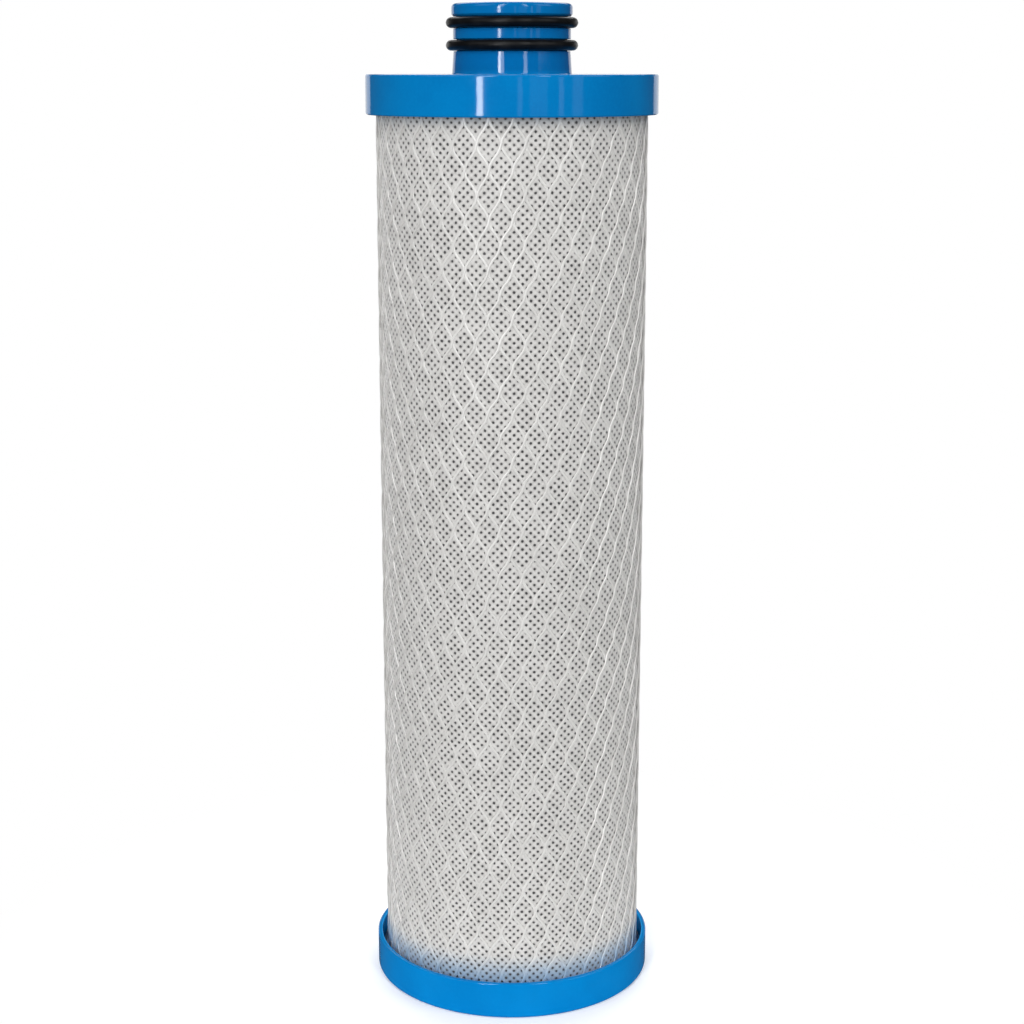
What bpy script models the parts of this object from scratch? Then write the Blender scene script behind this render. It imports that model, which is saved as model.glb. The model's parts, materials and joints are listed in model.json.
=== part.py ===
"""Drop-in water filter cartridge with a twin O-ring outlet spigot.

Water passes inwards through the netting, the wrap and the carbon block, then runs up the slotted
core and out through the spigot. Every piece is a solid of its own, spun or extruded about +Z.
The frame's origin is the centre of the base that the cartridge stands on. Units are metres.
"""

import math

import bmesh
import bpy

# Driving dimensions
OVERALL_LENGTH = 0.254
CAP_DIAMETER = 0.073
BODY_DIAMETER = 0.068
SPIGOT_HEIGHT = 0.017
TOP_SKIRT_HEIGHT = 0.0098
BOTTOM_RIM_HEIGHT = 0.0096
CAP_WALL = 0.0012
CAP_PLATE = 0.0026
PIECE_GAP = 0.0003

# Spigot
SPIGOT_TIP_RADIUS = 0.0150
SPIGOT_LAND_RADIUS = 0.0146
NECK_RADIUS = 0.0145
NECK_BASE_RADIUS = 0.0149
SPIGOT_BORE_RADIUS = 0.0108
TIP_CHAMFER = 0.0005
O_RING_SECTION = 0.00262
O_RING_OUTER_DIAMETER = 0.0328
UPPER_O_RING_RISE = 0.0124
LOWER_O_RING_RISE = 0.00695

# Core, carbon block and skins
COLLAR_BORE_RADIUS = 0.0090
COLLAR_WALL = 0.0013
COLLAR_DEPTH = 0.0079
CORE_WALL = 0.0012
SLEEVE_THICKNESS = 0.0005
BLOCK_OUTER_RADIUS = 0.0320
WRAP_THICKNESS = 0.0003
WRAP_SEAM_GAP = 0.0002
WRAP_OVERLAP_DEG = 22.0
WRAP_RAMP_DEG = 40.0
WRAP_SEAM_DEG = 100.0
NETTING_THICKNESS = 0.0006
GLUE_THICKNESS = 0.0013

# Rounded edges
RIM_FILLET = 0.0004
FLANGE_FILLET = 0.0005
TIP_FILLET = 0.0010
BASE_FILLET = 0.0010

# Underside of the bottom cap
FOOT_INNER_RADIUS = 0.0310
FOOT_STEP_WIDTH = 0.0006
BASE_RECESS_DEPTH = 0.0008
BASE_FLOOR_THICKNESS = 0.0020

# Slots of the core
SLOT_ROWS = 8
SLOT_LENGTH = 0.016
SLOTS_AROUND = 6

# Faceting
CAP_SEGMENTS = 64
O_RING_SIDES = 8
INNER_SEGMENTS = 48
CORE_SEGMENTS = 24
FILLET_STEPS = 2
MERGE_DISTANCE = 1e-6
SHARP_ANGLE_DEG = 35.0

# Levels and radii that follow from the dimensions above
CAP_RADIUS = CAP_DIAMETER / 2
CAP_INNER_RADIUS = CAP_RADIUS - CAP_WALL
BODY_RADIUS = BODY_DIAMETER / 2
FLANGE_TOP = OVERALL_LENGTH - SPIGOT_HEIGHT
PLATE_UNDERSIDE = FLANGE_TOP - CAP_PLATE
CUP_FLOOR = BASE_RECESS_DEPTH + BASE_FLOOR_THICKNESS
COLLAR_OUTER_RADIUS = COLLAR_BORE_RADIUS + COLLAR_WALL
CORE_INNER_RADIUS = COLLAR_OUTER_RADIUS + PIECE_GAP
CORE_OUTER_RADIUS = CORE_INNER_RADIUS + CORE_WALL
SLEEVE_INNER_RADIUS = CORE_OUTER_RADIUS + PIECE_GAP
SLEEVE_OUTER_RADIUS = SLEEVE_INNER_RADIUS + SLEEVE_THICKNESS
BLOCK_BORE_RADIUS = SLEEVE_OUTER_RADIUS + PIECE_GAP
WRAP_INNER_RADIUS = BLOCK_OUTER_RADIUS + PIECE_GAP
GLUE_OUTER_RADIUS = CAP_INNER_RADIUS - PIECE_GAP
MEDIA_BOTTOM = CUP_FLOOR + GLUE_THICKNESS + 2 * PIECE_GAP
MEDIA_TOP = PLATE_UNDERSIDE - GLUE_THICKNESS - 2 * PIECE_GAP
O_RING_CENTRE_RADIUS = (O_RING_OUTER_DIAMETER - O_RING_SECTION) / 2
GROOVE_RADIUS = O_RING_CENTRE_RADIUS - O_RING_SECTION / 2 - PIECE_GAP
GROOVE_HALF_WIDTH = O_RING_SECTION / 2 + PIECE_GAP


def clear_scene():
    for scene_object in list(bpy.data.objects):
        bpy.data.objects.remove(scene_object, do_unlink=True)


def plastic(name, colour, roughness):
    """A Principled material; every piece of the cartridge is a non-metal."""
    material = bpy.data.materials.new(name)
    material.use_nodes = True
    shader = material.node_tree.nodes["Principled BSDF"]
    shader.inputs["Base Color"].default_value = (*colour, 1.0)
    shader.inputs["Roughness"].default_value = roughness
    shader.inputs["Metallic"].default_value = 0.0
    return material


def rounded_outline(corners):
    """The points of a closed outline of (radius, z, fillet) corners, with each fillet as an arc."""
    points = []
    count = len(corners)
    for index, (radius, level, fillet) in enumerate(corners):
        if fillet == 0:
            points.append((radius, level))
            continue
        before = corners[index - 1]
        after = corners[(index + 1) % count]
        to_before = unit(before[0] - radius, before[1] - level)
        to_after = unit(after[0] - radius, after[1] - level)
        cosine = to_before[0] * to_after[0] + to_before[1] * to_after[1]
        half_angle = math.acos(cosine) / 2
        bisector = unit(to_before[0] + to_after[0], to_before[1] + to_after[1])
        reach = fillet / math.sin(half_angle)
        centre = (radius + bisector[0] * reach, level + bisector[1] * reach)
        tangent = fillet / math.tan(half_angle)
        start = (radius + to_before[0] * tangent, level + to_before[1] * tangent)
        end = (radius + to_after[0] * tangent, level + to_after[1] * tangent)
        points.extend(arc_between(centre, start, end))
    return points


def unit(x, y):
    length = math.hypot(x, y)
    return x / length, y / length


def arc_between(centre, start, end):
    """FILLET_STEPS + 1 points on the short arc about centre from start to end."""
    first = math.atan2(start[1] - centre[1], start[0] - centre[0])
    last = math.atan2(end[1] - centre[1], end[0] - centre[0])
    turn = (last - first + math.pi) % (2 * math.pi) - math.pi
    size = math.hypot(start[0] - centre[0], start[1] - centre[1])
    angles = [first + turn * step / FILLET_STEPS for step in range(FILLET_STEPS + 1)]
    return [(centre[0] + size * math.cos(a), centre[1] + size * math.sin(a)) for a in angles]


def finished_object(name, builder, material):
    """Turns a bmesh into an object whose faces point out and whose round faces are smooth."""
    bmesh.ops.remove_doubles(builder, verts=builder.verts, dist=MERGE_DISTANCE)
    bmesh.ops.recalc_face_normals(builder, faces=builder.faces)
    mesh = bpy.data.meshes.new(name)
    builder.to_mesh(mesh)
    builder.free()
    mesh.shade_smooth()
    mesh.set_sharp_from_angle(angle=math.radians(SHARP_ANGLE_DEG))
    mesh.materials.append(material)
    made = bpy.data.objects.new(name, mesh)
    bpy.context.scene.collection.objects.link(made)
    return made


def turned(name, outline, segments, material, closed=True):
    """Spins an outline of (radius, z) points about +Z. An open outline starts and ends on the axis."""
    builder = bmesh.new()
    profile = [builder.verts.new((radius, 0.0, level)) for radius, level in outline]
    edges = [builder.edges.new(pair) for pair in zip(profile, profile[1:])]
    if closed:
        edges.append(builder.edges.new((profile[-1], profile[0])))
    bmesh.ops.spin(
        builder,
        geom=profile + edges,
        cent=(0.0, 0.0, 0.0),
        axis=(0.0, 0.0, 1.0),
        angle=2 * math.pi,
        steps=segments,
        use_merge=True,
        use_duplicate=False,
    )
    return finished_object(name, builder, material)


def tube(name, radii, levels, segments, material):
    inner_radius, outer_radius = radii
    bottom, top = levels
    outline = [
        (outer_radius, bottom),
        (outer_radius, top),
        (inner_radius, top),
        (inner_radius, bottom),
    ]
    return turned(name, outline, segments, material)


def make_top_end_cap(material):
    """Flange with a skirt round the media, a grooved spigot above and a collar into the core below."""
    lower_ring = FLANGE_TOP + LOWER_O_RING_RISE
    upper_ring = FLANGE_TOP + UPPER_O_RING_RISE
    skirt_bottom = FLANGE_TOP - TOP_SKIRT_HEIGHT
    collar_bottom = PLATE_UNDERSIDE - COLLAR_DEPTH
    bore_step = SPIGOT_BORE_RADIUS - COLLAR_BORE_RADIUS
    outline = rounded_outline(
        [
            (CAP_RADIUS, skirt_bottom, RIM_FILLET),
            (CAP_RADIUS, FLANGE_TOP, FLANGE_FILLET),
            (NECK_BASE_RADIUS, FLANGE_TOP, 0),
            (NECK_RADIUS, lower_ring - GROOVE_HALF_WIDTH, 0),
            (GROOVE_RADIUS, lower_ring - GROOVE_HALF_WIDTH, 0),
            (GROOVE_RADIUS, lower_ring + GROOVE_HALF_WIDTH, 0),
            (SPIGOT_LAND_RADIUS, lower_ring + GROOVE_HALF_WIDTH, 0),
            (SPIGOT_LAND_RADIUS, upper_ring - GROOVE_HALF_WIDTH, 0),
            (GROOVE_RADIUS, upper_ring - GROOVE_HALF_WIDTH, 0),
            (GROOVE_RADIUS, upper_ring + GROOVE_HALF_WIDTH, 0),
            (SPIGOT_TIP_RADIUS - TIP_CHAMFER, upper_ring + GROOVE_HALF_WIDTH, 0),
            (SPIGOT_TIP_RADIUS, upper_ring + GROOVE_HALF_WIDTH + TIP_CHAMFER, 0),
            (SPIGOT_TIP_RADIUS, OVERALL_LENGTH, TIP_FILLET),
            (SPIGOT_BORE_RADIUS, OVERALL_LENGTH, 0),
            (SPIGOT_BORE_RADIUS, FLANGE_TOP, 0),
            (COLLAR_BORE_RADIUS, FLANGE_TOP - bore_step, 0),
            (COLLAR_BORE_RADIUS, collar_bottom, 0),
            (COLLAR_OUTER_RADIUS, collar_bottom, 0),
            (COLLAR_OUTER_RADIUS, PLATE_UNDERSIDE, 0),
            (CAP_INNER_RADIUS, PLATE_UNDERSIDE, 0),
            (CAP_INNER_RADIUS, skirt_bottom, 0),
        ]
    )
    return turned("top_end_cap", outline, CAP_SEGMENTS, material)


def make_bottom_end_cap(material):
    """Closed cup with a foot ring below and a hollow plug that centres the core above."""
    plug_top = CUP_FLOOR + COLLAR_DEPTH
    axis_points = [(0.0, BASE_RECESS_DEPTH), (FOOT_INNER_RADIUS - FOOT_STEP_WIDTH, BASE_RECESS_DEPTH)]
    rim = rounded_outline(
        [
            (FOOT_INNER_RADIUS, 0.0, 0),
            (CAP_RADIUS, 0.0, BASE_FILLET),
            (CAP_RADIUS, BOTTOM_RIM_HEIGHT, RIM_FILLET),
            (CAP_INNER_RADIUS, BOTTOM_RIM_HEIGHT, 0),
            (CAP_INNER_RADIUS, CUP_FLOOR, 0),
            (COLLAR_OUTER_RADIUS, CUP_FLOOR, 0),
            (COLLAR_OUTER_RADIUS, plug_top, 0),
            (COLLAR_BORE_RADIUS, plug_top, 0),
            (COLLAR_BORE_RADIUS, CUP_FLOOR, 0),
        ]
    )
    outline = axis_points + rim + [(0.0, CUP_FLOOR)]
    return turned("bottom_end_cap", outline, CAP_SEGMENTS, material, closed=False)


def make_o_ring(name, rise, material):
    """An O-ring of O_RING_SECTION, centred at rise above the flange."""
    centre_level = FLANGE_TOP + rise
    outline = []
    for side in range(O_RING_SIDES):
        angle = 2 * math.pi * side / O_RING_SIDES
        radius = O_RING_CENTRE_RADIUS + O_RING_SECTION / 2 * math.cos(angle)
        level = centre_level + O_RING_SECTION / 2 * math.sin(angle)
        outline.append((radius, level))
    return turned(name, outline, CAP_SEGMENTS, material)


def smooth_step(share):
    share = min(1.0, max(0.0, share))
    return share * share * (3 - 2 * share)


def make_prefilter_wrap(material):
    """One rolled sheet whose far edge rides up over its near edge to make a lapped seam."""
    lift = WRAP_THICKNESS + WRAP_SEAM_GAP
    sweep = 360.0 + WRAP_OVERLAP_DEG
    steps = round(sweep / (360.0 / CAP_SEGMENTS))
    inner_side = []
    outer_side = []
    for step in range(steps + 1):
        travelled = sweep * step / steps
        rise = lift * smooth_step((travelled - (360.0 - WRAP_RAMP_DEG)) / WRAP_RAMP_DEG)
        angle = math.radians(WRAP_SEAM_DEG + travelled)
        for side, offset in ((inner_side, 0.0), (outer_side, WRAP_THICKNESS)):
            radius = WRAP_INNER_RADIUS + rise + offset
            side.append((radius * math.cos(angle), radius * math.sin(angle)))
    builder = bmesh.new()
    rows = {}
    for key, side in (("inner", inner_side), ("outer", outer_side)):
        for end, level in (("bottom", MEDIA_BOTTOM), ("top", MEDIA_TOP)):
            rows[key, end] = [builder.verts.new((x, y, level)) for x, y in side]
    wall_pairs = (
        (rows["outer", "bottom"], rows["outer", "top"]),
        (rows["outer", "top"], rows["inner", "top"]),
        (rows["inner", "top"], rows["inner", "bottom"]),
        (rows["inner", "bottom"], rows["outer", "bottom"]),
    )
    for low, high in wall_pairs:
        for step in range(steps):
            builder.faces.new((low[step], low[step + 1], high[step + 1], high[step]))
    for end in (0, -1):
        builder.faces.new([low[end] for low, high in wall_pairs])
    return finished_object("prefilter_wrap", builder, material)


def make_core_tube(material):
    """A tube with rows of slots, each row turned by half a slot pitch from the one below."""
    builder = bmesh.new()
    pitch = (MEDIA_TOP - MEDIA_BOTTOM) / SLOT_ROWS
    band = pitch - SLOT_LENGTH
    levels = [MEDIA_BOTTOM]
    for row in range(SLOT_ROWS):
        slot_bottom = MEDIA_BOTTOM + row * pitch + band / 2
        levels.extend([slot_bottom, slot_bottom + SLOT_LENGTH])
    levels.append(MEDIA_TOP)
    facets_per_slot = CORE_SEGMENTS // SLOTS_AROUND
    rings = []
    for level in levels:
        ring = []
        for segment in range(CORE_SEGMENTS):
            angle = 2 * math.pi * segment / CORE_SEGMENTS
            x = CORE_OUTER_RADIUS * math.cos(angle)
            y = CORE_OUTER_RADIUS * math.sin(angle)
            ring.append(builder.verts.new((x, y, level)))
        rings.append(ring)
    for row, (low, high) in enumerate(zip(rings, rings[1:])):
        for segment in range(CORE_SEGMENTS):
            turned_by = facets_per_slot // 2 if row % 4 == 1 else 0
            in_slot = (segment + turned_by) % facets_per_slot < facets_per_slot // 2
            if row % 2 == 1 and in_slot:
                continue
            following = (segment + 1) % CORE_SEGMENTS
            builder.faces.new((low[segment], low[following], high[following], high[segment]))
    core = finished_object("core_tube", builder, material)
    wall = core.modifiers.new("wall", "SOLIDIFY")
    wall.thickness = CORE_WALL
    wall.offset = -1.0
    wall.use_even_offset = True
    return core


def make_cartridge():
    clear_scene()
    blue = plastic("blue_moulded_plastic", (0.004, 0.215, 0.610), 0.28)
    rubber = plastic("black_rubber", (0.012, 0.012, 0.013), 0.45)
    netting = plastic("white_netting", (0.80, 0.80, 0.79), 0.40)
    nonwoven = plastic("white_nonwoven", (0.66, 0.65, 0.63), 0.90)
    carbon = plastic("pressed_carbon", (0.018, 0.018, 0.019), 0.95)
    natural = plastic("natural_core_plastic", (0.72, 0.72, 0.70), 0.45)
    glue = plastic("hot_melt_glue", (0.78, 0.74, 0.62), 0.35)

    make_top_end_cap(blue)
    make_o_ring("upper_o_ring", UPPER_O_RING_RISE, rubber)
    make_o_ring("lower_o_ring", LOWER_O_RING_RISE, rubber)
    make_bottom_end_cap(blue)
    media = (MEDIA_BOTTOM, MEDIA_TOP)
    netting_radii = (BODY_RADIUS - NETTING_THICKNESS, BODY_RADIUS)
    tube("outer_netting", netting_radii, media, CAP_SEGMENTS, netting)
    make_prefilter_wrap(nonwoven)
    tube("carbon_block", (BLOCK_BORE_RADIUS, BLOCK_OUTER_RADIUS), media, INNER_SEGMENTS, carbon)
    sleeve_radii = (SLEEVE_INNER_RADIUS, SLEEVE_OUTER_RADIUS)
    tube("postfilter_sleeve", sleeve_radii, media, CORE_SEGMENTS, nonwoven)
    make_core_tube(natural)
    glue_bottoms = {
        "bottom_glue_ring": CUP_FLOOR + PIECE_GAP,
        "top_glue_ring": PLATE_UNDERSIDE - PIECE_GAP - GLUE_THICKNESS,
    }
    for name, bottom in glue_bottoms.items():
        glue_radii = (CORE_INNER_RADIUS, GLUE_OUTER_RADIUS)
        tube(name, glue_radii, (bottom, bottom + GLUE_THICKNESS), INNER_SEGMENTS, glue)


make_cartridge()
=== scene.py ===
"""The looks of the drop-in water filter cartridge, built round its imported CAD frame.

Every CAD node is replaced by a finer piece in the same place: moulded caps, O-rings with a flash
line, real netting strands, a point-bonded wrap, the slotted core and the glue. Units are metres.
"""

import json
import math

import bmesh
import bpy
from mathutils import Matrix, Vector


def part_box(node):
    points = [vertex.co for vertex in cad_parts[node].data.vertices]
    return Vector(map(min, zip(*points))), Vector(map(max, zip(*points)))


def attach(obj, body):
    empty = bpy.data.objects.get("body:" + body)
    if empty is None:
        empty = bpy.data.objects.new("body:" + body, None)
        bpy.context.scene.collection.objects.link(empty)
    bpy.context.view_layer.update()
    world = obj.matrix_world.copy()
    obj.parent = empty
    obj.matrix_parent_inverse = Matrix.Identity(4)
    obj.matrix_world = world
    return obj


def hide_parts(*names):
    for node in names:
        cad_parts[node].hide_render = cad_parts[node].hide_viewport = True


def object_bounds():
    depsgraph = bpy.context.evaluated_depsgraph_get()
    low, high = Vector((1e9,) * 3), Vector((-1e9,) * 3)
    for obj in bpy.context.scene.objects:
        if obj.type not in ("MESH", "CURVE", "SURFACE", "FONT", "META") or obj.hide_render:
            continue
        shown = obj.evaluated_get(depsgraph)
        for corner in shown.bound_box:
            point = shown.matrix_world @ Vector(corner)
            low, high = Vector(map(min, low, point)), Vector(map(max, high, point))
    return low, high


MM = 0.001
FULL_TURN = 2 * math.pi

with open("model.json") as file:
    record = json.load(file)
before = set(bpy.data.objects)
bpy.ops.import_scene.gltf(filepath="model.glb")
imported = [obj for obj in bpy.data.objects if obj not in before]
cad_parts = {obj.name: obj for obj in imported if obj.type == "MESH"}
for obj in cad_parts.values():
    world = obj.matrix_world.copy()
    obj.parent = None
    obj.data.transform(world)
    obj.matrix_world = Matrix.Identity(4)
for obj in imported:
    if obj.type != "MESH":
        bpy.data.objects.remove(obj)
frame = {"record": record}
cad_low, cad_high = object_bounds()

# ---------------------------------------------------------------- places read from the frame

mount_level = {mount["name"]: mount["pos_m"][2] for mount in frame["record"]["mounts"]}
media_low, media_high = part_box("carbon_block")
top_cap_low, top_cap_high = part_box("top_end_cap")

FLANGE_TOP = mount_level["flange_top"]
SPIGOT_TOP = mount_level["spigot_end"]
CAP_RADIUS = top_cap_high.x
COLLAR_END = top_cap_low.z
PLUG_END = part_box("bottom_end_cap")[1].z
GLUE_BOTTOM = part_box("bottom_glue_ring")[0].z
BODY_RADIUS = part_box("outer_netting")[1].x
MEDIA_BOTTOM = media_low.z
MEDIA_TOP = media_high.z
SLEEVE_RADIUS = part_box("postfilter_sleeve")[1].x
CORE_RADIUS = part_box("core_tube")[1].x

# ---------------------------------------------------------------- sizes of the fine shapes

# Both caps
CAP_WALL = 1.2 * MM
COLLAR_BORE_RADIUS = 9.0 * MM
COLLAR_OUTER_RADIUS = 10.3 * MM

# Top cap
CAP_PLATE = 2.6 * MM
TOP_SKIRT_HEIGHT = 9.8 * MM
SKIRT_BOTTOM = FLANGE_TOP - TOP_SKIRT_HEIGHT
SKIRT_DRAFT = 0.04 * MM
NECK_BASE_RADIUS = 14.9 * MM
NECK_RADIUS = 14.5 * MM
SPIGOT_LAND_RADIUS = 14.6 * MM
SPIGOT_TIP_RADIUS = 15.0 * MM
SPIGOT_TIP_SLOPE = 0.5 * MM
SPIGOT_BORE_RADIUS = 10.8 * MM
BORE_TAPER_HEIGHT = 1.8 * MM
GROOVE_FLOOR_RADIUS = 13.6 * MM
GROOVE_HALF_WIDTH = 1.45 * MM
PARTING_LINE_HEIGHT = 0.03 * MM
PARTING_LINE_HALF_ANGLE = 0.03

# Bottom cap, and what its base shows from below
BOTTOM_RIM_HEIGHT = 9.6 * MM
CUP_FLOOR = GLUE_BOTTOM - 0.3 * MM
FOOT_INNER_RADIUS = 31.0 * MM
FOOT_SLOPE = 0.6 * MM
BASE_RECESS_DEPTH = 0.8 * MM
BASE_RIB_INNER_RADIUS = 17.9 * MM
BASE_RIB_OUTER_RADIUS = 19.1 * MM
BASE_RIB_HEIGHT = 0.25 * MM
BASE_RIB_SLOPE = 0.3 * MM
GATE_DISH_RADIUS = 3.2 * MM
GATE_DISH_SLOPE = 0.6 * MM
GATE_DISH_DEPTH = 0.95 * MM
GATE_RADIUS = 1.1 * MM
GATE_SLOPE = 0.3 * MM
GATE_END_DEPTH = 0.45 * MM

# O-rings
O_RING_SECTION = 2.62 * MM
FLASH_LINE_HEIGHT = 0.035 * MM

# Wrap. Its bond dots stand in pairs of columns round it, staggered by a row.
BOND_COLUMN_PAIRS = 103
BOND_ROW_PITCH = 1.015 * MM
BOND_DEPTH = 0.05 * MM
WRAP_THICKNESS = 0.25 * MM
WRAP_SEAM_DEG = 100.0
WRAP_OVERLAP_DEG = 22.0
WRAP_RAMP_DEG = 40.0
WRAP_EDGE_FALL_DEG = 6.0
WRAP_PRESSED_IN = 0.06 * MM
WRAP_RIPPLE = 0.03 * MM
WRAP_RIPPLES_AROUND = 5
WRAP_RIPPLE_TWIST = 90.0
WRAP_RIPPLE_CLIMB = 140.0

# Netting. A wave is (size, waves round the body, turn per metre of height, phase).
STRANDS = 36
NODE_RISE = 5.85 * MM
STRAND_HALF_WIDTH = 0.33 * MM
STRAND_HALF_HEIGHT = 0.24 * MM
STRAND_WAVE = 0.62
STRAND_NODE_SWELL = 0.14
STRAND_LAYER_GAP = 0.27 * MM
NET_TURN_WAVES = ((0.30 * MM, 3, 31.0, 0.0), (0.18 * MM, 7, -83.0, 0.0))
NET_LIFT_WAVES = ((0.35 * MM, 4, 57.0, 1.0), (0.20 * MM, 9, 19.0, 0.0))

# Block, sleeve and core
BLOCK_BORE_GAP = 0.15 * MM
SLEEVE_BORE_GAP = 0.1 * MM
CORE_WALL = 1.2 * MM
CORE_SLOT_ROWS = 8
CORE_SLOTS_AROUND = 6
CORE_SLOT_LENGTH = 16.0 * MM
CORE_EDGE_WIDTH = 0.15 * MM

# Glue, which has crept up the cap's wall. Its waves are shares of the creep. A ring's open face looks
# up or down.
UP = 1
DOWN = -1
GLUE_CORE_INSET = 0.9 * MM
GLUE_CREEP = 1.1 * MM
GLUE_CREEP_WIDTH = 0.5 * MM
GLUE_CREEP_FOOT = 0.2 * MM
GLUE_UNEVEN_WIDTH = 1.0 * MM
GLUE_WAVES = ((0.25, 5, 0.0, 0.0), (0.20, 11, 0.0, 1.3), (0.10, 23, 0.0, 0.0))

# Fineness of the meshes
CAP_STEPS = 256
GLUE_STEPS = 192
INNER_STEPS = 128
CORE_STEPS = 96
ARC_STEPS = 6
O_RING_SIDES = 36
STRAND_SIDES = 8
STRAND_STEPS_PER_NODE = 5
MERGE_DISTANCE = 1e-7
SHARP_DEG = 35.0
WRAP_SHARP_DEG = 60.0
CORE_EDGE_DEG = 50.0

# ---------------------------------------------------------------- mesh helpers


def unit(x, y):
    length = math.hypot(x, y)
    return x / length, y / length


def at(radius, angle, level):
    """A point by its distance from the Z axis, its angle about it and its height."""
    return radius * math.cos(angle), radius * math.sin(angle), level


def rounded_outline(corners):
    """Points of a closed outline of (radius, z, fillet) corners, with each fillet as an arc."""
    points = []
    for index, (radius, level, fillet) in enumerate(corners):
        if fillet == 0:
            points.append((radius, level))
            continue
        before = corners[index - 1]
        after = corners[(index + 1) % len(corners)]
        to_before = unit(before[0] - radius, before[1] - level)
        to_after = unit(after[0] - radius, after[1] - level)
        half_angle = math.acos(to_before[0] * to_after[0] + to_before[1] * to_after[1]) / 2
        bisector = unit(to_before[0] + to_after[0], to_before[1] + to_after[1])
        reach = fillet / math.sin(half_angle)
        centre = (radius + bisector[0] * reach, level + bisector[1] * reach)
        tangent = fillet / math.tan(half_angle)
        start = (radius + to_before[0] * tangent, level + to_before[1] * tangent)
        end = (radius + to_after[0] * tangent, level + to_after[1] * tangent)
        first = math.atan2(start[1] - centre[1], start[0] - centre[0])
        last = math.atan2(end[1] - centre[1], end[0] - centre[0])
        turn = (last - first + math.pi) % FULL_TURN - math.pi
        for step in range(ARC_STEPS + 1):
            angle = first + turn * step / ARC_STEPS
            points.append((centre[0] + fillet * math.cos(angle), centre[1] + fillet * math.sin(angle)))
    return points


def mesh_object(name, vertices, faces, sharp_deg=SHARP_DEG):
    """A smooth-shaded mesh object from vertices and faces, with its normals pointing out."""
    mesh = bpy.data.meshes.new(name)
    mesh.from_pydata([tuple(v) for v in vertices], [], faces)
    builder = bmesh.new()
    builder.from_mesh(mesh)
    bmesh.ops.remove_doubles(builder, verts=builder.verts, dist=MERGE_DISTANCE)
    bmesh.ops.recalc_face_normals(builder, faces=builder.faces)
    builder.to_mesh(mesh)
    builder.free()
    mesh.shade_smooth()
    mesh.set_sharp_from_angle(angle=math.radians(sharp_deg))
    made = bpy.data.objects.new(name, mesh)
    bpy.context.scene.collection.objects.link(made)
    return made


def lathe(name, outline, steps=CAP_STEPS, closed=True, push=None):
    """Turns an outline of (radius, z) about +Z.

    push(radius, z, angle) gives each point's own radius and z.
    """
    rows = len(outline)
    vertices = []
    for step in range(steps):
        angle = FULL_TURN * step / steps
        for radius, level in outline:
            if push:
                radius, level = push(radius, level, angle)
            vertices.append(at(radius, angle, level))
    faces = []
    for step in range(steps):
        here = step * rows
        there = ((step + 1) % steps) * rows
        for row in range(rows if closed else rows - 1):
            following = (row + 1) % rows
            faces.append((here + row, there + row, there + following, here + following))
    return mesh_object(name, vertices, faces)


def flatten_normals(piece):
    """Lets the large flat faces set the normals beside the small rounded edges."""
    modifier = piece.modifiers.new("weighted_normals", "WEIGHTED_NORMAL")
    modifier.keep_sharp = True
    return piece


def place(piece, material, material_slot, *nodes):
    """Gives a piece its material and its body, and hides the CAD nodes that it stands for."""
    piece.data.materials.clear()
    piece.data.materials.append(material)
    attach(piece, "root")
    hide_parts(*nodes)


def smooth_step(share):
    """0 up to share 0, 1 from share 1 on, and a smooth rise between them."""
    share = min(1.0, max(0.0, share))
    return share * share * (3 - 2 * share)


def waves(terms, angle, level=0.0):
    """The sum of sine waves (size, waves round the body, turn per metre of height, phase)."""
    total = 0.0
    for size, count, per_metre, phase in terms:
        total += size * math.sin(count * angle + per_metre * level + phase)
    return total


# ---------------------------------------------------------------- material helpers


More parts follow.
